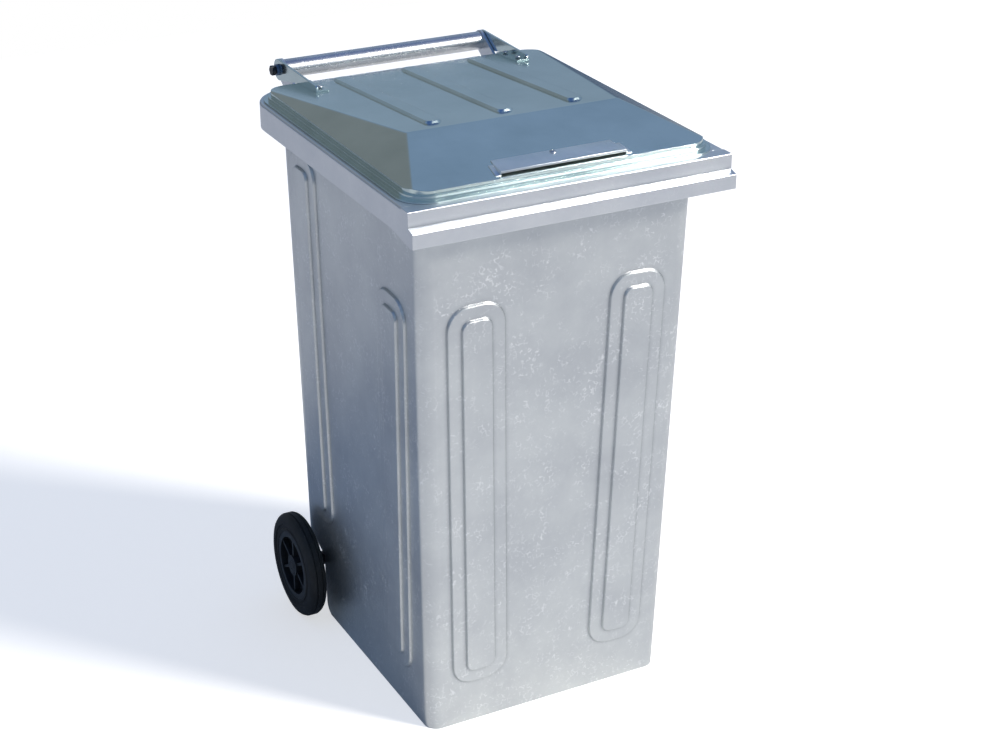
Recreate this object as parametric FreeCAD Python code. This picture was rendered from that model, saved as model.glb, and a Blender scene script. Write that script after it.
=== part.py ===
import FreeCAD, Part
import math
import os
from FreeCAD import Vector

# Two-wheeled refuse bin of hot-dip galvanised steel sheet with a hinged, hipped lid.
# Millimetres. +Z is up and the front faces -Y. The origin lies on the ground under the
# middle of the bounding box.

# ---- rim ---------------------------------------------------------------------------
RIM_WIDTH = 580.0
RIM_HEIGHT = 1000.0
RIM_DEPTH = 653.0            # front face of the rim to the rear skirt's outer face
RIM_PLATE = 2.5
RIM_REAR_RADIUS = 78.0
RIM_EDGE_RADIUS = 3.0
SKIRT_HEIGHT = 45.0
SKIRT_SHEET = 2.0
SKIRT_DIP_LENGTH = 36.0      # run over which the skirt deepens towards the front lip

# ---- front lifting lip -------------------------------------------------------------
LIP_STRIP = 24.5             # depth of the lip's flat top strip
LIP_UPPER_BAND = 26.0
LIP_STEP_DROP = 4.3
LIP_PROJECTION = 15.6
LIP_HEIGHT = 55.7
LIP_RETURN = 10.0
LIP_SHEET = 2.5
LIP_EDGE_RADIUS = 1.8

# ---- body --------------------------------------------------------------------------
BODY_SHEET = 1.5
BODY_TOP_WIDTH = 506.6
BODY_BOTTOM_WIDTH = 461.0
BODY_FRONT_GAP = 44.8        # rim front face to the front wall, measured at the rim
BODY_FRONT_LEAN = 24.7       # the front wall's foot stands this much further back
BODY_REAR_GAP = 37.0         # rear wall to the rear skirt's outer face
BODY_FRONT_RADIUS = 24.0
BODY_REAR_RADIUS = 50.0
FIT_GAP = 0.2                # between sheets that are welded face to face

# ---- racetrack beads pressed outward in two terraces --------------------------------
BEAD_WIDTH = 106.0
BEAD_LENGTH = 723.0
BEAD_RADIUS = 42.0
BEAD_TERRACE = 25.0          # inner outline's distance inside the outer one
BEAD_RISE = 4.0              # height of each terrace
BEAD_DRAFT = 2.0
FRONT_BEAD_EDGE = 98.0       # bead centre line to the body's side edge
FRONT_BEAD_FOOT = 82.0       # lower end of the front beads above the ground
SIDE_BEAD_EDGE = 112.0       # bead centre line to the front or rear wall
SIDE_FRONT_TILT = 2.7
SIDE_REAR_TILT = 0.5
REAR_BEAD_FOOT = 208.0       # lower end of the beads beside and behind the wheels

# ---- floor pan and rear axle recess -------------------------------------------------
PAN_SHEET = 1.5
PAN_RISE = 20.0
PAN_BEAD_WIDTH = 150.0
PAN_BEAD_LENGTH = 190.0
PAN_BEAD_RISE = 6.0
PAN_BEAD_RADIUS = 40.0
RECESS_DEPTH = 102.0         # rear wall to the recess wall
RECESS_TOP = 165.0
RECESS_SHELF = 125.0         # lower end of the sloping shelf
RECESS_FOOT_RADIUS = 22.0
RECESS_FOOT_TURN = 60.0      # angle the recess wall bends through at its foot
RECESS_FOOT_FACETS = 6

# ---- wheels and axle ----------------------------------------------------------------
WHEEL_RADIUS = 100.0
WHEEL_WIDTH = 34.0
WHEEL_TRACK_OUTER = 578.0    # over the outer faces of both wheels
AXLE_RADIUS = 10.0
AXLE_BEHIND_RECESS = 31.0
TYRE_BORE_RADIUS = 66.0
TYRE_SHOULDER = 6.0
HUB_RIM_THICKNESS = 10.0
HUB_RIM_INSET = 1.5
HUB_WEB = 4.0
HUB_WEB_DEPTH = 15.0         # outer face to the web
HUB_BOSS_RADIUS = 20.0
HUB_BOSS_INBOARD = 7.0
HUB_SPOKES = 6
HUB_SPOKE_WIDTH = 5.0
CAP_RADIUS = 16.0
CAP_POCKET = 9.0
CLIP_RADIUS = 14.0
CLIP_THICKNESS = 2.0
SPACER_WALL = 3.0
BRACKET_POSITION = 192.0     # inner face of each axle bracket from the middle
BRACKET_SHEET = 6.0
BRACKET_END_RADIUS = 19.0
BRACKET_WELD_HEIGHT = 66.0

# ---- hinge and handle ----------------------------------------------------------------
HINGE_SETBACK = 53.5         # rear skirt to the hinge line
HINGE_RISE = 17.0            # hinge line above the rim
HANDLE_RADIUS = 16.85
HANDLE_WALL = 2.6
HANDLE_LENGTH = 394.0
PLUG_LENGTH = 14.0
EAR_SHEET = 5.0
EAR_END_RADIUS = 19.0
EAR_RIM_SEAT = 11.0          # the ear's tread on top of the rim
EAR_SKIRT_SEAT = 42.0        # the ear's weld down the rear skirt
BOLT_RADIUS = 5.0
BOLT_HEAD_FLATS = 16.0
BOLT_HEAD_HEIGHT = 6.5
BOLT_COLLAR_RADIUS = 6.5
BOLT_COLLAR = 2.4
BUSH_RADIUS = 7.0
BUSH_FLANGE_RADIUS = 10.0
BUSH_FLANGE = 4.0
RUNNING_CLEARANCE = 0.08
SIDE_CLEARANCE = 1.0         # ear to lid arm, and lid arm to bush flange

# ---- lid -----------------------------------------------------------------------------
LID_SHEET = 1.5
LID_SIDE_INSET = 8.5         # rim side to the lid's flange edge
LID_FRONT_INSET = 15.5
LID_REAR_INSET = 20.0
LID_SEAT_GAP = 0.3
LID_CORNER_RADIUS = 50.0
LID_LOWER_STEP_INSET = 8.0   # flange edge to the lower step's wall
LID_UPPER_STEP_INSET = 13.0  # flange edge to the upper step's wall
LID_FLANGE_TOP = 2.6
LID_LOWER_STEP_TOP = 9.6
LID_UPPER_STEP_TOP = 16.0
LID_CREST_RISE = 50.0
LID_CREST_DEPTH = 202.0      # rim front face to the crest line
LID_CREST_INSET = 95.0       # rim side to the crest line's end
LID_CREST_RADIUS = 18.0
LID_RIBS = 3
LID_RIB_PITCH = 131.0
LID_RIB_WIDTH = 32.0
LID_RIB_RISE = 4.0
LID_RIB_DRAFT = 3.0
LID_RIB_REAR_MARGIN = 12.0
LID_RIB_FRONT_MARGIN = 26.0

# ---- lid arms and grip -----------------------------------------------------------------
ARM_SHEET = 4.0
ARM_FRONT_REACH = 172.5      # hinge line to the arm's front end
ARM_FRONT_HEIGHT = 10.5
ARM_FRONT_RADIUS = 6.0
ARM_FOOT_WIDTH = 23.0
ARM_FOOT_LENGTH = 80.0
ARM_FOOT_SHEET = 3.5
RIVET_RADIUS = 3.0
RIVET_HEAD_RADIUS = 5.5
RIVET_HEAD_HEIGHT = 2.4
RIVET_TAIL = 2.0
STUD_SIDES = 12
ARM_RIVET_MARGIN = 16.0
GRIP_LENGTH = 216.0
GRIP_SHEET = 2.0
GRIP_REAR = 82.0             # rim front face to the grip's rear edge
GRIP_FRONT = 37.0
GRIP_FLANGE = 13.0
GRIP_FRONT_LIFT = 11.0       # top of the grip's front edge above the lid
GRIP_HEM = 4.0
GRIP_TAB_LENGTH = 20.0
GRIP_TAB_WIDTH = 12.0

# ---- places worked out from the sizes ---------------------------------------------------
OVERALL_DEPTH = LIP_PROJECTION + RIM_DEPTH + HINGE_SETBACK + EAR_END_RADIUS
FRONT_Y = LIP_PROJECTION - OVERALL_DEPTH / 2.0
REAR_Y = FRONT_Y + RIM_DEPTH
HALF_RIM = RIM_WIDTH / 2.0
BODY_TOP = RIM_HEIGHT - RIM_PLATE
WALL_REAR_Y = REAR_Y - BODY_REAR_GAP
RECESS_Y = WALL_REAR_Y - RECESS_DEPTH
AXLE_Y = RECESS_Y + AXLE_BEHIND_RECESS
AXLE_Z = WHEEL_RADIUS
HINGE_Y = REAR_Y + HINGE_SETBACK
HINGE_Z = RIM_HEIGHT + HINGE_RISE
EAR_X = HANDLE_LENGTH / 2.0
ARM_X = EAR_X + EAR_SHEET + SIDE_CLEARANCE
BUSH_X = ARM_X + ARM_SHEET + SIDE_CLEARANCE / 2.0
WHEEL_OUTER_X = WHEEL_TRACK_OUTER / 2.0
WHEEL_INNER_X = WHEEL_OUTER_X - WHEEL_WIDTH
LID_SEAT_Z = RIM_HEIGHT + LID_SEAT_GAP
CREST_Y = FRONT_Y + LID_CREST_DEPTH
CREST_Z = RIM_HEIGHT + LID_CREST_RISE
CREST_X = HALF_RIM - LID_CREST_INSET
LID_EAVES_Z = RIM_HEIGHT + LID_UPPER_STEP_TOP
FAR = 2000.0


# ---- shared helpers ---------------------------------------------------------------------
def rounded_outline(x0, x1, y0, y1, z, front_radius, rear_radius):
    """Closed wire of a rectangle with rounded front and rear corners at height z."""
    corners = [
        (x0, y0, front_radius, 180.0),
        (x1, y0, front_radius, 270.0),
        (x1, y1, rear_radius, 0.0),
        (x0, y1, rear_radius, 90.0),
    ]
    arcs = []
    for x, y, radius, start in corners:
        centre_x = x + radius if x == x0 else x - radius
        centre_y = y + radius if y == y0 else y - radius
        points = []
        for angle in (start, start + 45.0, start + 90.0):
            turn = math.radians(angle)
            points.append(Vector(centre_x + radius * math.cos(turn), centre_y + radius * math.sin(turn), z))
        arcs.append(points)
    edges = []
    for index, points in enumerate(arcs):
        edges.append(Part.Arc(points[0], points[1], points[2]).toShape())
        edges.append(Part.makeLine(points[2], arcs[(index + 1) % 4][0]))
    return Part.Wire(edges)


def upright(outline, height):
    """Solid with vertical walls on a closed outline."""
    return Part.Face(outline).extrude(Vector(0, 0, height))


def prism_yz(points, x0, x1):
    """Solid with a polygon in the YZ plane, running from x0 to x1."""
    corners = [Vector(x0, y, z) for y, z in points]
    face = Part.Face(Part.makePolygon(corners + corners[:1]))
    return face.extrude(Vector(x1 - x0, 0, 0))


def prism_xz(points, y0, y1):
    """Solid with a polygon in the XZ plane, running from y0 to y1."""
    corners = [Vector(x, y0, z) for x, z in points]
    face = Part.Face(Part.makePolygon(corners + corners[:1]))
    return face.extrude(Vector(0, y1 - y0, 0))


def frustum(low, high, z0, z1, front_radius, rear_radius):
    """Block with drafted flat sides between two rectangles (x half width, front y, rear y)."""
    half, front, rear = low
    top_half, top_front, top_rear = high
    across = prism_xz([(-half, z0), (half, z0), (top_half, z1), (-top_half, z1)], -FAR, FAR)
    along = prism_yz([(front, z0), (rear, z0), (top_rear, z1), (top_front, z1)], -FAR, FAR)
    block = across.common(along).Solids[0]
    middle = (front + rear) / 2.0
    for radius, side in ((front_radius, -1.0), (rear_radius, 1.0)):
        corners = [edge for edge in block.Edges
                   if edge.BoundBox.ZLength > 0.9 * (z1 - z0)
                   and side * (edge.CenterOfMass.y - middle) > 0.0
                   and abs(abs(edge.CenterOfMass.x) - (half + top_half) / 2.0) < 0.5]
        block = block.makeFillet(radius, corners)
    return block


def slab(y0, y1, z0, z1, x0=-FAR, x1=FAR):
    """Box between the given limits."""
    return Part.makeBox(x1 - x0, y1 - y0, z1 - z0, Vector(x0, y0, z0))


def rod(radius, x0, x1, y, z):
    """Round bar along X."""
    return Part.makeCylinder(radius, abs(x1 - x0), Vector(min(x0, x1), y, z), Vector(1, 0, 0))


def mirrored(shape):
    """The same shape on the other side of the middle."""
    return shape.mirror(Vector(0, 0, 0), Vector(1, 0, 0))


def lid_surface(y):
    """Height of the lid's front or rear facet at depth y."""
    if y < CREST_Y:
        eaves = FRONT_Y + LID_FRONT_INSET + LID_UPPER_STEP_INSET
    else:
        eaves = REAR_Y - LID_REAR_INSET - LID_UPPER_STEP_INSET
    return LID_EAVES_Z + (CREST_Z - LID_EAVES_Z) * (y - eaves) / (CREST_Y - eaves)


# ---- body shell -------------------------------------------------------------------------
def body_half_width(z):
    """Half the body's outer width at height z."""
    return (BODY_BOTTOM_WIDTH + (BODY_TOP_WIDTH - BODY_BOTTOM_WIDTH) * z / BODY_TOP) / 2.0


def body_front(z):
    """Depth of the front wall's outer face at height z."""
    return FRONT_Y + BODY_FRONT_GAP + BODY_FRONT_LEAN * (1.0 - z / BODY_TOP)


def body_block(inset):
    """Tapered solid of the body's outline, moved inwards all round."""
    rectangles = []
    for z in (0.0, BODY_TOP):
        rectangles.append((body_half_width(z) - inset, body_front(z) + inset, WALL_REAR_Y - inset))
    return frustum(rectangles[0], rectangles[1], 0.0, BODY_TOP,
                   BODY_FRONT_RADIUS - inset, BODY_REAR_RADIUS - inset)


def recess_cutter(offset):
    """Space behind the body that the axle needs, grown into the body by offset."""
    slope = math.atan2(RECESS_TOP - RECESS_SHELF, RECESS_DEPTH)
    rise = offset / math.cos(slope)
    shelf_z = RECESS_SHELF + rise - offset * math.tan(slope)
    far_z = RECESS_TOP + rise + (FAR - RECESS_DEPTH) * math.tan(slope)
    radius = RECESS_FOOT_RADIUS - offset
    turn = math.radians(RECESS_FOOT_TURN)
    points = [(RECESS_Y + FAR, -FAR), (RECESS_Y + FAR, far_z), (RECESS_Y - offset, shelf_z)]
    for step in range(RECESS_FOOT_FACETS + 1):
        angle = turn * step / RECESS_FOOT_FACETS
        points.append((RECESS_Y - RECESS_FOOT_RADIUS + radius * math.cos(angle),
                       RECESS_FOOT_RADIUS - radius * math.sin(angle)))
    y, z = points[-1]
    toe_y = y - 2.0 * RECESS_FOOT_RADIUS * math.sin(turn)
    toe_z = z - 2.0 * RECESS_FOOT_RADIUS * math.cos(turn)
    points += [(toe_y, toe_z), (toe_y, -FAR)]
    return prism_yz(points, -FAR, FAR)


def bead_solids(sheet):
    """Raised terraces and the hollows behind them, on a panel whose outer face is z = 0."""
    raised = []
    hollow = []
    for level in range(2):
        margin = level * BEAD_TERRACE
        base = level * BEAD_RISE
        top = base + BEAD_RISE
        for target, shrink, low, high in ((raised, 0.0, base - sheet / 2.0, top),
                                          (hollow, sheet, base - 1.5 * sheet, top - sheet)):
            rectangles = []
            for draft in (0.0, BEAD_DRAFT):
                inset = margin + shrink + draft
                half_length = BEAD_LENGTH / 2.0 - inset
                rectangles.append((BEAD_WIDTH / 2.0 - inset, -half_length, half_length))
            radius = BEAD_RADIUS - margin - shrink
            target.append(frustum(rectangles[0], rectangles[1], low, high, radius, radius))
    return raised, hollow


def press_bead(panel, middle, up, outward):
    """Press one double-terraced bead into a flat wall of sheet BODY_SHEET."""
    outward = Vector(outward).normalize()
    up = (up - outward * up.dot(outward)).normalize()
    across = up.cross(outward)
    placement = FreeCAD.Placement(middle, FreeCAD.Rotation(across, up, outward, "ZYX"))
    raised, hollow = bead_solids(BODY_SHEET)
    for solid in raised + hollow:
        solid.Placement = placement
    return panel.fuse(raised).cut(hollow)


def side_wall_normal():
    """Outward normal of the left wall."""
    lean = (BODY_TOP_WIDTH - BODY_BOTTOM_WIDTH) / 2.0 / BODY_TOP
    return Vector(-1.0, 0.0, -lean)


def press_front_beads(panel):
    """Two beads on the front wall, parallel to the tapering side edges."""
    z = FRONT_BEAD_FOOT + BEAD_LENGTH / 2.0
    outward = Vector(0.0, -1.0, -BODY_FRONT_LEAN / BODY_TOP)
    lean = (BODY_TOP_WIDTH - BODY_BOTTOM_WIDTH) / 2.0 / BODY_TOP
    for side in (-1.0, 1.0):
        middle = Vector(side * (body_half_width(z) - FRONT_BEAD_EDGE), body_front(z), z)
        panel = press_bead(panel, middle, Vector(side * lean, 0.0, 1.0), outward)
    return panel


def press_side_beads(panel):
    """A front and a rear bead on each side wall; the rear one is higher, clear of the wheel."""
    z_front = FRONT_BEAD_FOOT + BEAD_LENGTH / 2.0
    z_rear = REAR_BEAD_FOOT + BEAD_LENGTH / 2.0
    places = [
        (body_front(z_front) + SIDE_BEAD_EDGE, z_front, SIDE_FRONT_TILT),
        (WALL_REAR_Y - SIDE_BEAD_EDGE, z_rear, SIDE_REAR_TILT),
    ]
    for side in (1.0, -1.0):
        for y, z, tilt in places:
            normal = side_wall_normal()
            normal.x *= side
            up = Vector(0.0, -math.tan(math.radians(tilt)), 1.0)
            panel = press_bead(panel, Vector(-side * body_half_width(z), y, z), up, normal)
    return panel


def body_tube():
    """The body's four walls as one sheet tube, cut away for the axle."""
    return body_block(0.0).cut(body_block(BODY_SHEET)).cut(recess_cutter(0.0))


def make_body_wrapper():
    """Front and both sides, folded from one sheet."""
    seam_y = WALL_REAR_Y - BODY_REAR_RADIUS
    wrapper = body_tube().cut(slab(seam_y, FAR, -FAR, FAR))
    return press_side_beads(press_front_beads(wrapper))


def make_rear_panel():
    """Rear wall with its rounded corners, the sloping shelf and the recess wall."""
    seam_y = WALL_REAR_Y - BODY_REAR_RADIUS
    corners = body_tube().cut(slab(-FAR, seam_y, -FAR, FAR))
    folded = body_block(BODY_SHEET).common(recess_cutter(BODY_SHEET)).cut(recess_cutter(0.0))
    panel = corners.fuse(folded).removeSplitter()
    z = REAR_BEAD_FOOT + BEAD_LENGTH / 2.0
    lean = (BODY_TOP_WIDTH - BODY_BOTTOM_WIDTH) / 2.0 / BODY_TOP
    for side in (-1.0, 1.0):
        middle = Vector(side * (body_half_width(z) - SIDE_BEAD_EDGE), WALL_REAR_Y, z)
        panel = press_bead(panel, middle, Vector(side * lean, 0.0, 1.0), Vector(0, 1, 0))
    return panel


def make_floor_pan():
    """Dished floor with a flange welded inside the walls down to the ground."""
    outer_inset = BODY_SHEET + FIT_GAP
    inner_inset = outer_inset + PAN_SHEET
    outer = body_block(outer_inset).cut(recess_cutter(outer_inset))
    outer = outer.common(slab(-FAR, FAR, 0.0, PAN_RISE))
    inner = body_block(inner_inset).cut(recess_cutter(inner_inset))
    inner = inner.common(slab(-FAR, FAR, -1.0, PAN_RISE - PAN_SHEET))
    pan = outer.cut(inner)
    middle_y = (body_front(0.0) + RECESS_Y) / 2.0
    crown = []
    for inset, low, high in ((0.0, PAN_RISE - PAN_SHEET / 2.0, PAN_RISE + PAN_BEAD_RISE),
                             (PAN_SHEET, PAN_RISE - 1.5 * PAN_SHEET, PAN_RISE + PAN_BEAD_RISE - PAN_SHEET)):
        rectangles = []
        for draft in (0.0, PAN_BEAD_RISE):
            half_y = PAN_BEAD_WIDTH - inset - draft
            rectangles.append((PAN_BEAD_LENGTH - inset - draft, middle_y - half_y, middle_y + half_y))
        crown.append(frustum(rectangles[0], rectangles[1], low, high, PAN_BEAD_RADIUS, PAN_BEAD_RADIUS))
    return pan.fuse(crown[0]).cut(crown[1])


# ---- rim -----------------------------------------------------------------------------------
def make_rim_frame():
    """Flat rim plate around the mouth with a deep skirt along the sides and the rear."""
    front = FRONT_Y + LIP_STRIP
    dip = (LIP_HEIGHT - SKIRT_HEIGHT) * (1.0 - (LIP_STRIP - LIP_RETURN + LIP_PROJECTION)
                                         / (SKIRT_DIP_LENGTH + LIP_STRIP - LIP_RETURN + LIP_PROJECTION))
    low = RIM_HEIGHT - SKIRT_HEIGHT - dip
    outline = rounded_outline(-HALF_RIM, HALF_RIM, front - 5.0, REAR_Y, low, 1.0, RIM_REAR_RADIUS)
    block = upright(outline, RIM_HEIGHT - low).cut(slab(-FAR, front, -FAR, FAR))
    rounded = [edge for edge in block.Edges
               if edge.BoundBox.ZMin > RIM_HEIGHT - 0.01 and edge.BoundBox.YMax > front + 1.0]
    block = block.makeFillet(RIM_EDGE_RADIUS, rounded)
    half = HALF_RIM - SKIRT_SHEET
    outline = rounded_outline(-half, half, front - 50.0, REAR_Y - SKIRT_SHEET, low - 1.0,
                              1.0, RIM_REAR_RADIUS - SKIRT_SHEET)
    hollow = upright(outline, RIM_HEIGHT - RIM_PLATE - low + 1.0)
    mouth_half = body_half_width(BODY_TOP) - BODY_SHEET
    outline = rounded_outline(-mouth_half, mouth_half, body_front(BODY_TOP) + BODY_SHEET,
                              WALL_REAR_Y - BODY_SHEET, BODY_TOP - 1.0, BODY_FRONT_RADIUS - BODY_SHEET,
                              BODY_REAR_RADIUS - BODY_SHEET)
    mouth = upright(outline, RIM_PLATE + 2.0)
    under = RIM_HEIGHT - SKIRT_HEIGHT
    trim = prism_yz([(front + SKIRT_DIP_LENGTH, under), (FAR, under), (FAR, low - 1.0),
                     (front - 1.0, low - 1.0), (front, low)], -FAR, FAR)
    return block.cut(hollow).cut(mouth).cut(trim)


def make_front_lip():
    """Stepped lip under which a lifting comb engages, with closed ends."""
    back = FRONT_Y + LIP_STRIP
    top = RIM_HEIGHT
    step_top = top - LIP_UPPER_BAND
    step_low = step_top - LIP_STEP_DROP
    nose = FRONT_Y - LIP_PROJECTION
    low = top - LIP_HEIGHT
    skirt_low = top - SKIRT_HEIGHT
    profile = [(back, top), (FRONT_Y, top), (FRONT_Y, step_top), (nose, step_low), (nose, low), (back, low)]
    block = prism_yz(profile, -HALF_RIM, HALF_RIM)
    soft = [edge for edge in block.Edges
            if edge.BoundBox.XLength > 1.0 and edge.BoundBox.YMax < back - 1.0
            and abs(edge.BoundBox.ZMin - step_top) > 0.1]
    block = block.makeFillet(LIP_EDGE_RADIUS, soft)
    sheet = LIP_SHEET
    slant = math.hypot(LIP_PROJECTION, LIP_STEP_DROP)
    shift = sheet * (slant - LIP_PROJECTION) / LIP_STEP_DROP
    drop = sheet * (slant - LIP_STEP_DROP) / LIP_PROJECTION
    inside = [(back + 1.0, top - sheet), (FRONT_Y + sheet, top - sheet), (FRONT_Y + sheet, step_top - drop),
              (nose + sheet, step_low - drop - shift), (nose + sheet, low + sheet),
              (nose + LIP_RETURN, low + sheet), (nose + LIP_RETURN, low - 1.0), (back + 1.0, low - 1.0)]
    half = HALF_RIM - SKIRT_SHEET
    lip = block.cut(prism_yz(inside, -half, half))
    slope = (LIP_HEIGHT - SKIRT_HEIGHT) / (SKIRT_DIP_LENGTH + back - nose - LIP_RETURN)
    rise = slope * (back - nose - LIP_RETURN)
    trim = prism_yz([(nose + LIP_RETURN, low), (back, low + rise), (back + 1.0, skirt_low),
                     (back + 1.0, low - 1.0), (nose + LIP_RETURN, low - 1.0)], -FAR, FAR)
    return lip.cut(trim)


# ---- handle, ears and hinge hardware ------------------------------------------------------------
def make_handle_ear():
    """Left ear: carries the handle tube and the hinge bolt, welded on the rim's rear corner."""
    radius = EAR_END_RADIUS
    seat_front = REAR_Y - EAR_RIM_SEAT
    reach = math.hypot(HINGE_Y - seat_front, HINGE_RISE)
    lift = math.atan2(HINGE_RISE, HINGE_Y - seat_front) + math.asin(radius / reach)
    run = math.sqrt(reach ** 2 - radius ** 2)
    upper = (seat_front + run * math.cos(lift), RIM_HEIGHT + run * math.sin(lift))
    low_z = RIM_HEIGHT - EAR_SKIRT_SEAT
    reach = math.hypot(HINGE_SETBACK, HINGE_Z - low_z)
    lift = math.atan2(HINGE_Z - low_z, HINGE_SETBACK) - math.asin(radius / reach)
    run = math.sqrt(reach ** 2 - radius ** 2)
    lower = (REAR_Y + run * math.cos(lift), low_z + run * math.sin(lift))
    outline = [(seat_front, RIM_HEIGHT), upper, (HINGE_Y, HINGE_Z), lower,
               (REAR_Y, low_z), (REAR_Y, RIM_HEIGHT)]
    x0 = -EAR_X - EAR_SHEET
    ear = prism_yz(outline, x0, -EAR_X).fuse(rod(radius, x0, -EAR_X, HINGE_Y, HINGE_Z))
    bore = rod(BOLT_RADIUS + RUNNING_CLEARANCE, x0 - 1.0, 1.0 - EAR_X, HINGE_Y, HINGE_Z)
    return ear.removeSplitter().cut(bore)


def make_handle_tube():
    """Straight handle tube between the ears, on the hinge line."""
    half = HANDLE_LENGTH / 2.0
    outer = rod(HANDLE_RADIUS, -half, half, HINGE_Y, HINGE_Z)
    return outer.cut(rod(HANDLE_RADIUS - HANDLE_WALL, -half - 1.0, half + 1.0, HINGE_Y, HINGE_Z))


def make_tube_plug():
    """Left plug: closes the tube's end and takes the hinge bolt's thread."""
    radius = HANDLE_RADIUS - HANDLE_WALL - RUNNING_CLEARANCE
    plug = rod(radius, -EAR_X, PLUG_LENGTH - EAR_X, HINGE_Y, HINGE_Z)
    return plug.cut(rod(BOLT_RADIUS + RUNNING_CLEARANCE, -EAR_X - 1.0, PLUG_LENGTH + 1.0 - EAR_X,
                        HINGE_Y, HINGE_Z))


def make_hinge_bush():
    """Left bush: the lid arm turns on its sleeve, and its flange keeps the arm in place."""
    inner_end = -EAR_X - EAR_SHEET - FIT_GAP
    flange_end = -BUSH_X - BUSH_FLANGE
    sleeve = rod(BUSH_RADIUS, -BUSH_X, inner_end, HINGE_Y, HINGE_Z)
    flange = rod(BUSH_FLANGE_RADIUS, flange_end, -BUSH_X, HINGE_Y, HINGE_Z)
    return sleeve.fuse(flange).removeSplitter().cut(
        rod(BOLT_RADIUS + RUNNING_CLEARANCE, flange_end - 1.0, inner_end + 1.0, HINGE_Y, HINGE_Z))


def make_hinge_bolt():
    """Left hinge bolt: hexagon head, collar and plain shank into the tube plug."""
    collar_end = -BUSH_X - BUSH_FLANGE - FIT_GAP
    head_start = collar_end - BOLT_COLLAR
    tip = PLUG_LENGTH - EAR_X
    shank = rod(BOLT_RADIUS, collar_end, tip, HINGE_Y, HINGE_Z)
    collar = rod(BOLT_COLLAR_RADIUS, head_start, collar_end, HINGE_Y, HINGE_Z)
    corner = BOLT_HEAD_FLATS / math.sqrt(3.0)
    hexagon = [(HINGE_Y + corner * math.cos(math.radians(60.0 * k)),
                HINGE_Z + corner * math.sin(math.radians(60.0 * k))) for k in range(6)]
    head = prism_yz(hexagon, head_start - BOLT_HEAD_HEIGHT, head_start)
    return head.fuse(collar).fuse(shank).removeSplitter()


# ---- axle and wheels ------------------------------------------------------------------------------
def make_axle():
    """Solid axle bar running behind the recess wall through both wheels."""
    end = WHEEL_OUTER_X - CAP_POCKET + CLIP_THICKNESS + 1.0
    return rod(AXLE_RADIUS, -end, end, AXLE_Y, AXLE_Z)


def make_axle_bracket():
    """Left bracket: a plate welded to the recess wall, bored for the axle."""
    radius = BRACKET_END_RADIUS
    half = BRACKET_WELD_HEIGHT / 2.0
    x0 = -BRACKET_POSITION - BRACKET_SHEET
    weld_y = RECESS_Y
    reach = math.hypot(AXLE_BEHIND_RECESS, half)
    lift = math.atan2(half, AXLE_BEHIND_RECESS) - math.asin(radius / reach)
    run = math.sqrt(reach ** 2 - radius ** 2)
    y = weld_y + run * math.cos(lift)
    rise = half - run * math.sin(lift)
    outline = [(weld_y, AXLE_Z - half), (y, AXLE_Z - rise), (AXLE_Y, AXLE_Z), (y, AXLE_Z + rise),
               (weld_y, AXLE_Z + half)]
    plate = prism_yz(outline, x0, -BRACKET_POSITION)
    plate = plate.fuse(rod(radius, x0, -BRACKET_POSITION, AXLE_Y, AXLE_Z)).removeSplitter()
    plate = plate.cut(recess_roof())
    return plate.cut(rod(AXLE_RADIUS + RUNNING_CLEARANCE, x0 - 1.0, 1.0 - BRACKET_POSITION, AXLE_Y, AXLE_Z))


def recess_roof():
    """Everything above the sloping shelf's underside."""
    slope = (RECESS_TOP - RECESS_SHELF) / RECESS_DEPTH
    return prism_yz([(RECESS_Y - 1.0, RECESS_SHELF - slope), (RECESS_Y + FAR, RECESS_SHELF + slope * FAR),
                     (RECESS_Y - 1.0, RECESS_SHELF + slope * FAR)], -FAR, FAR)


def make_axle_spacer():
    """Left spacer sleeve on the axle between bracket and hub."""
    x0 = -(WHEEL_INNER_X - HUB_BOSS_INBOARD) + FIT_GAP
    x1 = -BRACKET_POSITION - BRACKET_SHEET
    sleeve = rod(AXLE_RADIUS + RUNNING_CLEARANCE + SPACER_WALL, x0, x1, AXLE_Y, AXLE_Z)
    return sleeve.cut(rod(AXLE_RADIUS + RUNNING_CLEARANCE, x0 - 1.0, x1 + 1.0, AXLE_Y, AXLE_Z))


def make_axle_clip():
    """Left retaining ring on the axle's end, hidden under the hub cap."""
    x1 = -(WHEEL_OUTER_X - CAP_POCKET) - FIT_GAP
    x0 = x1 - CLIP_THICKNESS
    ring = rod(CLIP_RADIUS, x0, x1, AXLE_Y, AXLE_Z)
    return ring.cut(rod(AXLE_RADIUS + RUNNING_CLEARANCE, x0 - 1.0, x1 + 1.0, AXLE_Y, AXLE_Z))


def turned(points):
    """Solid of revolution about the axle from (radius, distance outwards from the middle)."""
    corners = [Vector(-x, AXLE_Y, AXLE_Z + radius) for radius, x in points]
    face = Part.Face(Part.makePolygon(corners + corners[:1]))
    return face.revolve(Vector(0, AXLE_Y, AXLE_Z), Vector(1, 0, 0), 360)


def make_tyre():
    """Left solid rubber tyre with chamfered shoulders."""
    outer = WHEEL_OUTER_X
    inner = WHEEL_INNER_X
    shoulder = WHEEL_RADIUS - TYRE_SHOULDER
    return turned([
        (TYRE_BORE_RADIUS, inner), (TYRE_BORE_RADIUS, outer), (shoulder, outer),
        (WHEEL_RADIUS, outer - TYRE_SHOULDER), (WHEEL_RADIUS, inner + TYRE_SHOULDER), (shoulder, inner),
    ])


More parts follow.
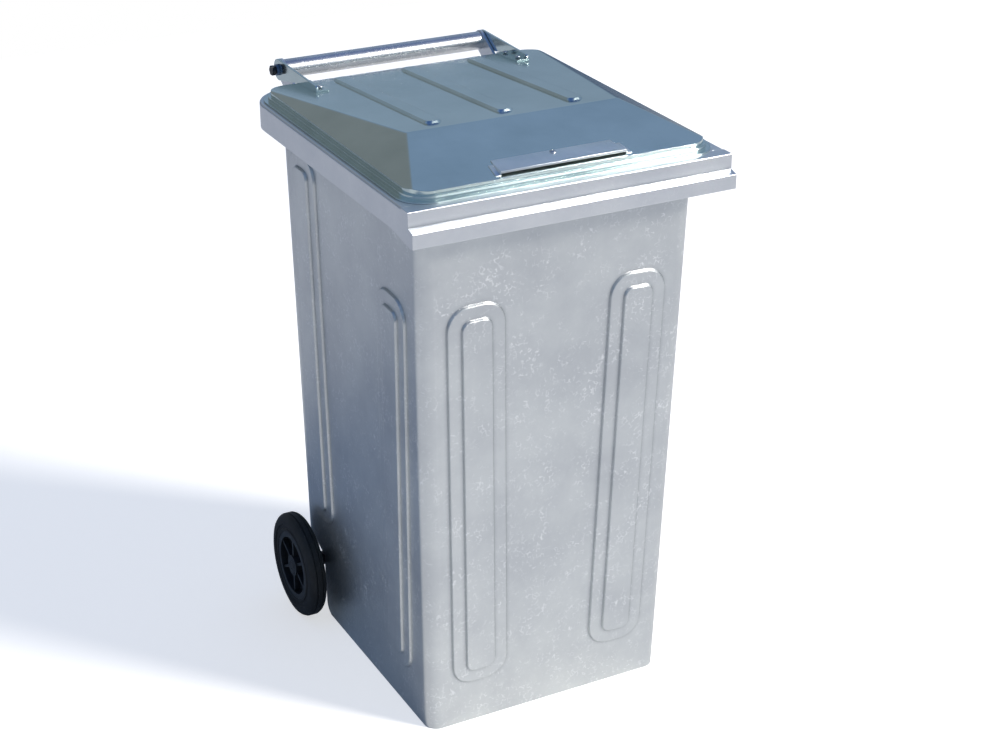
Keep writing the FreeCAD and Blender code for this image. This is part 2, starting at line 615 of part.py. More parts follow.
def make_wheel_hub():
    """Left moulded wheel centre: rim band, dished web, spokes and a long boss."""
    outer = WHEEL_OUTER_X - HUB_RIM_INSET
    inner = WHEEL_INNER_X + HUB_RIM_INSET
    web_out = WHEEL_OUTER_X - HUB_WEB_DEPTH
    web_in = web_out - HUB_WEB
    bore = AXLE_RADIUS + RUNNING_CLEARANCE
    band_out = TYRE_BORE_RADIUS - FIT_GAP
    band_in = band_out - HUB_RIM_THICKNESS
    boss_in = WHEEL_INNER_X - HUB_BOSS_INBOARD
    pocket = WHEEL_OUTER_X - CAP_POCKET
    wheel = turned([
        (bore, boss_in), (HUB_BOSS_RADIUS, boss_in), (HUB_BOSS_RADIUS, web_in), (band_in, web_in),
        (band_in, inner), (band_out, inner), (band_out, outer), (band_in, outer), (band_in, web_out),
        (HUB_BOSS_RADIUS, web_out), (HUB_BOSS_RADIUS, outer), (CAP_RADIUS + FIT_GAP, outer),
        (CAP_RADIUS + FIT_GAP, pocket), (bore, pocket),
    ])
    for index in range(HUB_SPOKES):
        spoke = slab(AXLE_Y - HUB_SPOKE_WIDTH / 2.0, AXLE_Y + HUB_SPOKE_WIDTH / 2.0,
                     AXLE_Z + HUB_BOSS_RADIUS - 1.0, AXLE_Z + band_in + 1.0,
                     1.0 - outer - HUB_RIM_INSET, -web_out + 1.0)
        spoke.translate(Vector(HUB_RIM_INSET + 2.0, 0, 0))
        spoke = spoke.common(slab(-FAR, FAR, -FAR, FAR, -outer, -web_in))
        spoke.rotate(Vector(0, AXLE_Y, AXLE_Z), Vector(1, 0, 0), 360.0 * index / HUB_SPOKES)
        wheel = wheel.fuse(spoke)
    return wheel.removeSplitter()


def make_hub_cap():
    """Left cap pressed into the boss over the axle's end."""
    pocket = WHEEL_OUTER_X - CAP_POCKET + CLIP_THICKNESS + 2.0
    under = WHEEL_OUTER_X - HUB_RIM_INSET - 2.0
    inner = CAP_RADIUS - 2.0
    return turned([
        (0.0, under), (inner, under), (inner, pocket), (CAP_RADIUS, pocket),
        (CAP_RADIUS, WHEEL_OUTER_X), (0.0, WHEEL_OUTER_X),
    ])


# ---- lid --------------------------------------------------------------------------------------------
def lid_block(inset, z0, z1):
    """Upright block on the lid's outline, moved inwards from its flange edge."""
    radius = LID_CORNER_RADIUS - inset
    half = HALF_RIM - LID_SIDE_INSET - inset
    outline = rounded_outline(-half, half, FRONT_Y + LID_FRONT_INSET + inset, REAR_Y - LID_REAR_INSET - inset,
                              z0, radius, radius)
    return upright(outline, z1 - z0)


def lid_roof(drop):
    """Hipped roof block: a ridge across the lid and four facets down to the eaves."""
    half = HALF_RIM - LID_SIDE_INSET - LID_UPPER_STEP_INSET
    front = FRONT_Y + LID_FRONT_INSET + LID_UPPER_STEP_INSET
    rear = REAR_Y - LID_REAR_INSET - LID_UPPER_STEP_INSET
    eaves = LID_EAVES_Z - drop
    crest = CREST_Z - drop
    gable = prism_yz([(front, eaves), (rear, eaves), (CREST_Y, crest)], -half, half)
    corners = [Vector(-half, front, eaves), Vector(half, front, eaves),
               Vector(CREST_X, front, crest), Vector(-CREST_X, front, crest)]
    hips = Part.Face(Part.makePolygon(corners + corners[:1])).extrude(Vector(0, rear - front, 0))
    roof = gable.common(hips).Solids[0]
    upper = [edge for edge in roof.Edges if edge.BoundBox.ZMax > eaves + 1.0]
    return roof.makeFillet(LID_CREST_RADIUS, upper)


def lid_shape(inset, drop):
    """Outer or inner form of the lid: stepped sides under a hipped roof."""
    low = LID_SEAT_Z - (1.0 if drop else 0.0)
    upper_inset = LID_UPPER_STEP_INSET + inset
    lower = lid_block(LID_LOWER_STEP_INSET + inset, low, RIM_HEIGHT + LID_LOWER_STEP_TOP - drop)
    upper = lid_block(upper_inset, low, LID_EAVES_Z - drop + 0.01)
    cap = lid_block(upper_inset, LID_EAVES_Z - drop - 0.01, CREST_Z).common(lid_roof(drop))
    if drop:
        return lower.multiFuse([upper, cap])
    flange = lid_block(inset, low, RIM_HEIGHT + LID_FLANGE_TOP)
    return flange.multiFuse([lower, upper, cap]).removeSplitter()


def press_lid_ribs(lid):
    """Round-ended ribs raised on the rear facet, evenly pitched about the middle."""
    rear = REAR_Y - LID_REAR_INSET - LID_UPPER_STEP_INSET - LID_RIB_REAR_MARGIN
    front = CREST_Y + LID_RIB_FRONT_MARGIN
    middle_y = (front + rear) / 2.0
    slope = math.atan2(CREST_Z - LID_EAVES_Z, REAR_Y - LID_REAR_INSET - LID_UPPER_STEP_INSET - CREST_Y)
    length = (rear - front) / math.cos(slope)
    sheet = LID_SHEET
    tools = []
    for shrink, low, high in ((0.0, -sheet / 2.0, LID_RIB_RISE), (sheet, -1.6 * sheet, LID_RIB_RISE - sheet)):
        rectangles = []
        for draft in (0.0, LID_RIB_DRAFT):
            half_x = LID_RIB_WIDTH / 2.0 - shrink - draft
            half_y = length / 2.0 - shrink - draft
            rectangles.append((half_x, -half_y, half_y))
        radius = LID_RIB_WIDTH / 2.0 - shrink - LID_RIB_DRAFT - 0.5
        tools.append(frustum(rectangles[0], rectangles[1], low, high, radius, radius))
    raised = []
    hollow = []
    for index in range(LID_RIBS):
        x = (index - (LID_RIBS - 1) / 2.0) * LID_RIB_PITCH
        placement = FreeCAD.Placement(Vector(x, middle_y, lid_surface(middle_y)),
                                      FreeCAD.Rotation(Vector(1, 0, 0), -math.degrees(slope)))
        for tool, group in zip(tools, (raised, hollow)):
            copy = tool.copy()
            copy.Placement = placement
            group.append(copy)
    return lid.fuse(raised).cut(hollow)


def rivet_places():
    """Foot points and facet normals of the lid arm rivets and the grip rivet."""
    rear_slope = math.atan2(CREST_Z - LID_EAVES_Z, REAR_Y - LID_REAR_INSET - LID_UPPER_STEP_INSET - CREST_Y)
    front_slope = math.atan2(CREST_Z - LID_EAVES_Z, CREST_Y - FRONT_Y - LID_FRONT_INSET - LID_UPPER_STEP_INSET)
    arm_front = HINGE_Y - ARM_FRONT_REACH
    rear_normal = Vector(0, math.sin(rear_slope), math.cos(rear_slope))
    front_normal = Vector(0, -math.sin(front_slope), math.cos(front_slope))
    arm = []
    x = ARM_X + ARM_SHEET - (ARM_FOOT_WIDTH + ARM_SHEET) / 2.0
    for side in (-1.0, 1.0):
        for y in (arm_front + ARM_RIVET_MARGIN, arm_front + ARM_FOOT_LENGTH - ARM_RIVET_MARGIN):
            arm.append((Vector(side * x, y, lid_surface(y)), rear_normal))
    y = FRONT_Y + GRIP_REAR - GRIP_FLANGE / 2.0
    grip = [(Vector(0, y, lid_surface(y)), front_normal)]
    return arm, grip


def rivet_holes(places):
    """Holes for a group of rivets."""
    radius = RIVET_RADIUS + RUNNING_CLEARANCE
    return [Part.makeCylinder(radius, 40.0, point - normal * 20.0, normal) for point, normal in places]


def stud(radius, base, normal, length):
    """Twelve-sided pin of the given length, standing on a point along a normal."""
    turn = FreeCAD.Rotation(Vector(0, 0, 1), normal)
    corners = []
    for index in range(STUD_SIDES + 1):
        angle = 2.0 * math.pi * index / STUD_SIDES
        corners.append(base + turn.multVec(Vector(radius * math.cos(angle), radius * math.sin(angle), 0.0)))
    return Part.Face(Part.makePolygon(corners)).extrude(normal * length)


def make_rivets(places, grip_thickness):
    """Rivets through a plate of the given thickness and the lid sheet, with a head and a set tail."""
    rivets = []
    for point, normal in places:
        head_base = point + normal * (grip_thickness + FIT_GAP / 2.0)
        tail_top = point - normal * (LID_SHEET + FIT_GAP / 2.0)
        shank = stud(RIVET_RADIUS, tail_top, normal, (head_base - tail_top).Length)
        head = stud(RIVET_HEAD_RADIUS, head_base, normal, RIVET_HEAD_HEIGHT)
        tail = stud(RIVET_RADIUS * 1.5, tail_top - normal * RIVET_TAIL, normal, RIVET_TAIL)
        rivets.append(shank.fuse(head).fuse(tail).removeSplitter())
    return rivets


def make_lid_panel():
    """Pressed lid: flat flange, two steps, hipped roof and three ribs."""
    lid = lid_shape(0.0, 0.0).cut(lid_shape(LID_SHEET, LID_SHEET))
    lid = press_lid_ribs(lid)
    arm, grip = rivet_places()
    return lid.cut(rivet_holes(arm + grip))


def make_lid_arm():
    """Left lid arm: an upright strap from the hinge bolt, with a foot riveted to the lid."""
    radius = EAR_END_RADIUS
    front = HINGE_Y - ARM_FRONT_REACH
    eaves = REAR_Y - LID_REAR_INSET - LID_UPPER_STEP_INSET
    top_z = lid_surface(front) + ARM_FRONT_HEIGHT
    lowest = (eaves, LID_EAVES_Z)
    x0 = -ARM_X - ARM_SHEET
    down = math.hypot(HINGE_Y - eaves, HINGE_Z - LID_EAVES_Z)
    drop = math.asin(radius / down) - math.atan2(HINGE_Z - LID_EAVES_Z, HINGE_Y - eaves)
    run = math.sqrt(down ** 2 - radius ** 2)
    heel = (eaves + run * math.cos(drop), LID_EAVES_Z - run * math.sin(drop))
    reach = math.hypot(ARM_FRONT_REACH, HINGE_Z - top_z)
    lift = math.asin(radius / reach) - math.atan2(top_z - HINGE_Z, ARM_FRONT_REACH)
    run = math.sqrt(reach ** 2 - radius ** 2)
    crown = (front + run * math.cos(lift), top_z + run * math.sin(lift))
    outline = [lowest, heel, (HINGE_Y, HINGE_Z), crown, (front, top_z), (front, lid_surface(front))]
    strap = prism_yz(outline, x0, -ARM_X)
    corner = [edge for edge in strap.Edges
              if edge.BoundBox.XLength > 1.0 and abs(edge.BoundBox.YMin - front) < 0.1
              and abs(edge.BoundBox.ZMin - top_z) < 0.1]
    strap = strap.makeFillet(ARM_FRONT_RADIUS, corner)
    strap = strap.fuse(rod(radius, x0, -ARM_X, HINGE_Y, HINGE_Z))
    foot_rear = front + ARM_FOOT_LENGTH
    foot = prism_yz([(front, lid_surface(front)), (foot_rear, lid_surface(foot_rear)),
                     (foot_rear, lid_surface(foot_rear) + ARM_FOOT_SHEET),
                     (front, lid_surface(front) + ARM_FOOT_SHEET)], x0, x0 + ARM_FOOT_WIDTH)
    arm = strap.fuse(foot).removeSplitter()
    arm = arm.cut(rod(BUSH_RADIUS + RUNNING_CLEARANCE, x0 - 1.0, 1.0 - ARM_X, HINGE_Y, HINGE_Z))
    return arm.cut(rivet_holes(rivet_places()[0]))


def make_lid_grip():
    """Bent grip strip: riveted rear flange, raised front edge and closed ends with tabs."""
    rear = FRONT_Y + GRIP_REAR
    fold = rear - GRIP_FLANGE
    front = FRONT_Y + GRIP_FRONT
    sheet = GRIP_SHEET
    half = GRIP_LENGTH / 2.0
    front_top = lid_surface(front) + GRIP_FRONT_LIFT
    outer = prism_yz([(rear, lid_surface(rear)), (rear, lid_surface(rear) + sheet),
                      (fold, lid_surface(fold) + sheet), (front, front_top), (front, lid_surface(front))],
                     -half, half)
    soft = [edge for edge in outer.Edges if edge.BoundBox.XLength > 1.0
            and abs(edge.BoundBox.ZMin - front_top) < 0.1]
    outer = outer.makeFillet(sheet * 0.6, soft)
    inner = prism_yz([(fold - sheet, lid_surface(fold - sheet) - 0.5), (fold - sheet, lid_surface(fold)),
                      (front + sheet, front_top - sheet), (front + sheet, front_top - GRIP_HEM),
                      (front - 1.0, front_top - GRIP_HEM), (front - 1.0, lid_surface(front) - 1.0)],
                     sheet - half, half - sheet)
    grip = outer.cut(inner)
    for side in (-1.0, 1.0):
        tab_rear = front + GRIP_TAB_LENGTH
        edge = side * half
        tab = prism_yz([(front, lid_surface(front)), (tab_rear, lid_surface(tab_rear)),
                        (tab_rear, lid_surface(tab_rear) + sheet), (front, lid_surface(front) + sheet)],
                       min(edge, edge + side * GRIP_TAB_WIDTH), max(edge, edge + side * GRIP_TAB_WIDTH))
        grip = grip.fuse(tab)
    return grip.removeSplitter().cut(rivet_holes(rivet_places()[1]))


# ---- export --------------------------------------------------------------------------------------------
def export(name, shape):
    """Write one sub-part and say how many solids it has."""
    solids = shape.Solids
    out = solids[0] if len(solids) == 1 else Part.makeCompound(solids)
    out.exportStep("parts/" + name + ".step")
    print(name, len(solids), "valid" if out.isValid() else "INVALID", round(out.Volume))


def export_sides(name, shape):
    """Write the left sub-part and its mirror image as two nodes."""
    export("left_" + name, shape)
    export("right_" + name, mirrored(shape))


def export_both(name, shape):
    """Write a small part and its mirror image as one node of two solids."""
    export(name, Part.makeCompound([shape, mirrored(shape)]))


def main():
    """Build and write every sub-part."""
    os.makedirs("parts", exist_ok=True)
    arm_places, grip_places = rivet_places()
    export("body_wrapper", make_body_wrapper())
    export("rear_panel", make_rear_panel())
    export("floor_pan", make_floor_pan())
    export("rim_frame", make_rim_frame())
    export("front_lip", make_front_lip())
    export("handle_tube", make_handle_tube())
    export("axle", make_axle())
    export("lid_panel", make_lid_panel())
    export("lid_grip", make_lid_grip())
    export("lid_rivets", Part.makeCompound(make_rivets(arm_places, ARM_FOOT_SHEET)
                                           + make_rivets(grip_places, GRIP_SHEET)))
    export_both("tube_plugs", make_tube_plug())
    export_both("hinge_bushes", make_hinge_bush())
    export_both("hinge_bolts", make_hinge_bolt())
    export_both("axle_spacers", make_axle_spacer())
    export_both("axle_clips", make_axle_clip())
    export_sides("handle_ear", make_handle_ear())
    export_sides("lid_arm", make_lid_arm())
    export_sides("axle_bracket", make_axle_bracket())
    export_sides("tyre", make_tyre())
    export_sides("wheel_hub", make_wheel_hub())
    export_sides("hub_cap", make_hub_cap())


main()
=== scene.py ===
import logging
import math
from dataclasses import dataclass, field
from enum import Enum
from typing import Callable

import bpy
from mathutils import Matrix, Vector


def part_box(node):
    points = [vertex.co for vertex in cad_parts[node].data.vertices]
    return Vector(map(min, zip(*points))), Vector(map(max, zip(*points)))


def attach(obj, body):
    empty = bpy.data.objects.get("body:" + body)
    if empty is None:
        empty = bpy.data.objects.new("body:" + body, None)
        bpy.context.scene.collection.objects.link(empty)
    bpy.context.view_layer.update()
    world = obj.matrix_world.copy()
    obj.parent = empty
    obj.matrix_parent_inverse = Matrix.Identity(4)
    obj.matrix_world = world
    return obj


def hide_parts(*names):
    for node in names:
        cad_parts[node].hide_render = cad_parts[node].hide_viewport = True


LOG = logging.getLogger("wheeled_bin")
MM = 0.001

Colour = tuple[float, float, float, float]
Stops = list[tuple[float, Colour]]

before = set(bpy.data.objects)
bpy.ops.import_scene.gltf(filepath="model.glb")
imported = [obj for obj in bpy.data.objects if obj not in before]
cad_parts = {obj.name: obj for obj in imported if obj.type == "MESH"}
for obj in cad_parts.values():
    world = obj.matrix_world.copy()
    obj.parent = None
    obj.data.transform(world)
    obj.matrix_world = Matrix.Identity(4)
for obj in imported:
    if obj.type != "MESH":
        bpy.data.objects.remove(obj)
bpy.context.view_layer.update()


class Side(Enum):
    """The two sides of the bin, seen from the front, as the sign of X."""

    LEFT = -1
    RIGHT = 1

    @property
    def prefix(self) -> str:
        """The word that starts the names of this side's nodes."""
        return self.name.lower()


# ---- shared helpers ----------------------------------------------------------------------


def linear(code: str) -> Colour:
    """Turns an sRGB hex value into a linear colour.

    Args:
        code: six hex digits, such as "b4bcc0".

    Returns:
        The colour as red, green, blue and alpha.
    """
    parts = [int(code[i : i + 2], 16) / 255.0 for i in (0, 2, 4)]
    red, green, blue = (
        part / 12.92 if part <= 0.04045 else ((part + 0.055) / 1.055) ** 2.4 for part in parts
    )
    return red, green, blue, 1.0


def add_node(
    tree: bpy.types.NodeTree,
    kind: str,
    settings: dict | None = None,
    inputs: dict | None = None,
) -> bpy.types.Node:
    """Adds one node with its settings and links.

    Args:
        tree: the node tree that gets the node.
        kind: the node's type name.
        settings: the node's own settings by name.
        inputs: a value or a source socket for each input, by name or number.

    Returns:
        The new node.
    """
    node = tree.nodes.new(kind)
    for name, value in (settings or {}).items():
        setattr(node, name, value)
    for name, value in (inputs or {}).items():
        if isinstance(value, bpy.types.NodeSocket):
            tree.links.new(value, node.inputs[name])
        else:
            node.inputs[name].default_value = value
    return node


def new_material(name: str) -> tuple[bpy.types.Material, bpy.types.NodeTree]:
    """Starts an empty node material.

    Args:
        name: the material's name.

    Returns:
        The material and its cleared node tree.
    """
    material = bpy.data.materials.new(name)
    material.use_nodes = True
    material.node_tree.nodes.clear()
    return material, material.node_tree


def grey(value: float) -> Colour:
    """A grey of that level, for a ramp used as a mask."""
    return value, value, value, 1.0


def set_ramp(node: bpy.types.Node, stops: Stops) -> None:
    """Gives a colour ramp its stops.

    Args:
        node: the colour ramp node.
        stops: position and colour of each stop, in order; two or more.
    """
    ramp = node.color_ramp
    while len(ramp.elements) < len(stops):
        ramp.elements.new(1.0)
    for element, (position, colour) in zip(ramp.elements, stops):
        element.position = position
        element.color = colour


def add_ramp(
    tree: bpy.types.NodeTree, level: bpy.types.NodeSocket, stops: Stops
) -> bpy.types.NodeSocket:
    """Adds a colour ramp.

    Args:
        tree: the node tree that gets the node.
        level: where on the ramp to read, from 0 to 1.
        stops: position and colour of each stop, in order; two or more.

    Returns:
        The ramp's colour at that level.
    """
    ramp = add_node(tree, "ShaderNodeValToRGB", inputs={"Fac": level})
    set_ramp(ramp, stops)
    return ramp.outputs["Color"]


def add_noise(
    tree: bpy.types.NodeTree, place: bpy.types.NodeSocket, cell_mm: float, **inputs: float
) -> bpy.types.Node:
    """Adds a noise texture.

    Args:
        tree: the node tree that gets the node.
        place: the coordinates, in metres.
        cell_mm: the size of the noise's cells, in millimetres.
        inputs: the node's other inputs by name.

    Returns:
        The new node.
    """
    scale = 1.0 / (cell_mm * MM)
    return add_node(
        tree, "ShaderNodeTexNoise", inputs={"Vector": place, "Scale": scale, **inputs}
    )


def add_math(
    tree: bpy.types.NodeTree, operation: str, *values: bpy.types.NodeSocket | float
) -> bpy.types.NodeSocket:
    """Adds one math node.

    Args:
        tree: the node tree that gets the node.
        operation: what the node does with its values.
        values: numbers or source sockets, in the node's order.

    Returns:
        The result.
    """
    node = add_node(tree, "ShaderNodeMath", {"operation": operation}, dict(enumerate(values)))
    return node.outputs["Value"]


def add_mix(
    tree: bpy.types.NodeTree,
    share: bpy.types.NodeSocket | float,
    first: bpy.types.NodeSocket | Colour,
    second: bpy.types.NodeSocket | Colour,
    blend: str = "MIX",
) -> bpy.types.NodeSocket:
    """Adds a colour mix.

    Args:
        tree: the node tree that gets the node.
        share: how much of the second colour is taken.
        first: the first colour.
        second: the second colour.
        blend: how the two are blended.

    Returns:
        The mixed colour.
    """
    settings = {"data_type": "RGBA", "blend_type": blend}
    node = add_node(tree, "ShaderNodeMix", settings, {0: share, 6: first, 7: second})
    return node.outputs[2]


def add_bump(
    tree: bpy.types.NodeTree,
    strength: float,
    rise_mm: float,
    height: bpy.types.NodeSocket,
    **inputs: bpy.types.NodeSocket,
) -> bpy.types.NodeSocket:
    """Adds a bump.

    Args:
        tree: the node tree that gets the node.
        strength: how much of the bump shows, from 0 to 1.
        rise_mm: what a height of 1 stands for, in millimetres.
        height: the height.
        inputs: the node's other inputs by name.

    Returns:
        The bumped normal.
    """
    settings = {"Strength": strength, "Distance": rise_mm * MM, "Height": height, **inputs}
    return add_node(tree, "ShaderNodeBump", inputs=settings).outputs["Normal"]


def add_rounding(tree: bpy.types.NodeTree, radius_mm: float) -> bpy.types.NodeSocket:
    """Adds the rounding of sharp edges.

    Args:
        tree: the node tree that gets the node.
        radius_mm: the edges' radius, in millimetres.

    Returns:
        The rounded normal.
    """
    node = add_node(tree, "ShaderNodeBevel", {"samples": 6}, {"Radius": radius_mm * MM})
    return node.outputs["Normal"]


def add_surface(tree: bpy.types.NodeTree, **inputs: bpy.types.NodeSocket | float) -> None:
    """Adds the surface shader and the material's output.

    Args:
        tree: the node tree that gets the nodes.
        inputs: the shader's inputs, named in small letters with underscores.
    """
    named = {name.replace("_", " ").title(): value for name, value in inputs.items()}
    shader = add_node(tree, "ShaderNodeBsdfPrincipled", inputs=named)
    add_node(tree, "ShaderNodeOutputMaterial", inputs={"Surface": shader.outputs["BSDF"]})


def direction(azimuth: float, elevation: float) -> Vector:
    """Finds the direction towards a point in the sky.

    Args:
        azimuth: radians to the right of the bin's front.
        elevation: radians above the horizon.

    Returns:
        The unit vector.
    """
    return Vector(
        (
            math.sin(azimuth) * math.cos(elevation),
            -math.cos(azimuth) * math.cos(elevation),
            math.sin(elevation),
        )
    )


def dress(node_names: list[str], material: bpy.types.Material) -> None:
    """Gives CAD nodes a finish in place of the one they were loaded with.

    Args:
        node_names: the names of the CAD nodes.
        material: the finish.
    """
    for name in node_names:
        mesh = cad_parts[name].data
        mesh.materials.clear()
        mesh.materials.append(material)


def deselect() -> None:
    bpy.ops.object.select_all(action="DESELECT")


def apply_modifiers(obj: bpy.types.Object) -> None:
    """Applies all of an object's modifiers in order.

    Args:
        obj: the object, which becomes the active one.
    """
    bpy.context.view_layer.objects.active = obj
    for modifier in list(obj.modifiers):
        bpy.ops.object.modifier_apply(modifier=modifier.name)


def settle(obj: bpy.types.Object) -> bpy.types.Object:
    """Puts an object's place, turn and scale into its mesh.

    Args:
        obj: the object to settle.

    Returns:
        The same object, now at the origin, unturned and unscaled.
    """
    bpy.context.view_layer.update()
    obj.data.transform(obj.matrix_world)
    obj.matrix_world = Matrix.Identity(4)
    return obj


def finish_piece(
    obj: bpy.types.Object,
    name: str,
    material: bpy.types.Material,
    body: str,
    angle: float = 30.0,
) -> bpy.types.Object:
    """Names, smooths and dresses a finished piece, and puts it on its body.

    Args:
        obj: the finished piece.
        name: its name.
        material: its finish.
        body: the CAD body that it moves with.
        angle: faces that meet at less than this, in degrees, are shaded smooth.

    Returns:
        The piece.
    """
    settle(obj)
    obj.name = name
    obj.data.materials.clear()
    obj.data.materials.append(material)
    deselect()
    obj.select_set(True)
    bpy.context.view_layer.objects.active = obj
    bpy.ops.object.shade_smooth_by_angle(angle=math.radians(angle))
    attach(obj, body)
    LOG.info("%s: %d faces on %s", name, len(obj.data.polygons), body)
    return obj


def pick(obj: bpy.types.Object, kind: str, test: Callable[[Vector], bool]) -> None:
    """Goes into edit mode with the edges or faces selected whose middle passes a test.

    Args:
        obj: the mesh object, which becomes the active one.
        kind: "EDGE" or "FACE".
        test: takes a middle point and says whether that edge or face is wanted.
    """
    deselect()
    bpy.context.view_layer.objects.active = obj
    obj.select_set(True)
    bpy.ops.object.mode_set(mode="EDIT")
    bpy.ops.mesh.select_mode(type=kind)
    bpy.ops.mesh.select_all(action="DESELECT")
    bpy.ops.object.mode_set(mode="OBJECT")
    mesh = obj.data
    for item in mesh.edges if kind == "EDGE" else mesh.polygons:
        corners = [mesh.vertices[index] for index in item.vertices]
        if test(sum((corner.co for corner in corners), Vector()) / len(corners)):
            item.select = True
            for corner in corners:
                corner.select = True
    bpy.ops.object.mode_set(mode="EDIT")


def extrude(step: Vector) -> None:
    """Extrudes what is selected in edit mode along a step."""
    bpy.ops.mesh.extrude_region_move(TRANSFORM_OT_translate={"value": step})


def close_mesh(merge: float = 1e-5) -> None:
    """Merges doubles, drops slivers, turns every face outwards and leaves edit mode.

    Args:
        merge: corners nearer than this, in metres, become one.
    """
    bpy.ops.mesh.select_all(action="SELECT")
    bpy.ops.mesh.remove_doubles(threshold=merge)
    bpy.ops.mesh.dissolve_degenerate(threshold=merge)
    bpy.ops.mesh.normals_make_consistent(inside=False)
    bpy.ops.object.mode_set(mode="OBJECT")


def turn_profile(
    profile: list[tuple[float, float]], centre: Vector, steps: int
) -> bpy.types.Object:
    """Spins a closed profile about an axle along X, as on a lathe.

    Args:
        profile: radius and X of each corner, in metres, in order round the loop.
        centre: a point on the axle.
        steps: how many steps make the full turn.

    Returns:
        The turned solid, in object mode.
    """
    deselect()
    bpy.ops.mesh.primitive_circle_add(vertices=len(profile), radius=0.1, fill_type="NOTHING")
    ring = bpy.context.active_object
    for vertex, (radius, x) in zip(ring.data.vertices, profile):
        vertex.co = Vector((x, centre.y, centre.z + radius))
    bpy.ops.object.mode_set(mode="EDIT")
    bpy.ops.mesh.select_all(action="SELECT")
    bpy.ops.mesh.spin(steps=steps, angle=2.0 * math.pi, center=centre, axis=(1.0, 0.0, 0.0))
    close_mesh()
    return ring


# ---- finishes ----------------------------------------------------------------------------


@dataclass(frozen=True)
class GalvanisedSheet:
    """Hot-dip galvanised steel: dipped in molten zinc after welding.

    The bath leaves a satin grey skin with soft clouds, clusters of small pale
    crystals, and a bright bead of thicker zinc along each edge.
    """

    name: str
    base: str = "d7dbdc"
    cloud: str = "c9cdd0"
    crystal: str = "f6f8fa"
    cloud_mm: float = 130.0
    crystal_mm: float = 5.0
    cluster_mm: float = 48.0
    crystal_share: float = 0.8
    relief: float = 0.1
    crease_mm: float = 9.0
    # the grey that the painted shade in the creases darkens towards
    dust_and_shade: str = "8f959c"
    roughness: float = 0.36
    metallic: float = 0.94
    edge_mm: float = 3.0

    def material(self) -> bpy.types.Material:
        """Builds the node material.

        Returns:
            The finish, patterned in millimetres on object coordinates.
        """
        material, tree = new_material(self.name)
        place = add_node(tree, "ShaderNodeTexCoord").outputs["Object"]
        # slow clouds where the skin cooled unevenly
        clouds = add_noise(tree, place, self.cloud_mm, Detail=5.0, Roughness=0.62)
        tone = add_ramp(
            tree, clouds.outputs["Fac"], [(0.34, linear(self.cloud)), (0.64, linear(self.base))]
        )
        lit = self.crystals(tree, place)
        amount = add_math(tree, "MULTIPLY", lit, self.crystal_share)
        colour = add_mix(tree, amount, tone, linear(self.crystal))
        # painted shade: ambient occlusion darkens the creases of the pressing towards a grey
        crease = add_node(
            tree,
            "ShaderNodeAmbientOcclusion",
            {"samples": 6, "only_local": True},
            {"Distance": self.crease_mm * MM},
        )
        dust_and_shade = add_ramp(
            tree, crease.outputs["AO"], [(0.45, linear(self.dust_and_shade)), (0.93, grey(1.0))]
        )
        # the strokes stand a few hundredths of a millimetre proud, over a soft orange-peel
        grain = add_noise(tree, place, 4.0 * self.crystal_mm, Detail=6.0, Roughness=0.6)
        height = add_math(tree, "MULTIPLY_ADD", lit, 0.5, grain.outputs["Fac"])
        rounded = add_rounding(tree, self.edge_mm)
        add_surface(
            tree,
            # painted shade: the colour is multiplied by the darkened creases
            base_color=add_mix(tree, 1.0, colour, dust_and_shade, "MULTIPLY"),
            metallic=self.metallic,
            # crystals scatter more light than the smooth skin between them
            roughness=add_math(tree, "MULTIPLY_ADD", amount, 0.25, self.roughness),
            normal=add_bump(tree, self.relief, 0.6, height, Normal=rounded),
        )
        return material

    def crystals(
        self, tree: bpy.types.NodeTree, place: bpy.types.NodeSocket
    ) -> bpy.types.NodeSocket:
        """Draws the feathery crystals.

        Args:
            tree: the node tree that gets the nodes.
            place: the object coordinates.

        Returns:
            A mask, 1 on the strokes and 0 between them.
        """
        # cells of a few millimetres, warped so that their outlines curl
        warp = add_noise(tree, place, 2.2 * self.crystal_mm, Detail=2.0)
        shift = add_node(
            tree,
            "ShaderNodeVectorMath",
            {"operation": "SCALE"},
            {0: warp.outputs["Color"], "Scale": 1.4 * self.crystal_mm * MM},
        )
        warped = add_node(
            tree,
            "ShaderNodeVectorMath",
            {"operation": "ADD"},
            {0: place, 1: shift.outputs["Vector"]},
        )
        seam = add_node(
            tree,
            "ShaderNodeTexVoronoi",
            {"feature": "DISTANCE_TO_EDGE"},
            {
                "Vector": warped.outputs["Vector"],
                "Scale": 1.0 / (1.5 * self.crystal_mm * MM),
                "Randomness": 1.0,
            },
        )
        vein = add_ramp(tree, seam.outputs["Distance"], [(0.02, grey(1.0)), (0.12, grey(0.0))])
        # a finer noise breaks the outlines into short strokes
        gaps = add_noise(tree, place, 1.6 * self.crystal_mm, Detail=2.0)
        stroke = add_ramp(tree, gaps.outputs["Fac"], [(0.50, grey(0.0)), (0.58, grey(1.0))])
        # and a coarser one gathers them in clusters
        cluster = add_noise(tree, place, self.cluster_mm, Detail=3.0, Roughness=0.7)
        patch = add_ramp(tree, cluster.outputs["Fac"], [(0.44, grey(0.05)), (0.64, grey(1.0))])
        return add_math(tree, "MULTIPLY", add_math(tree, "MULTIPLY", vein, stroke), patch)


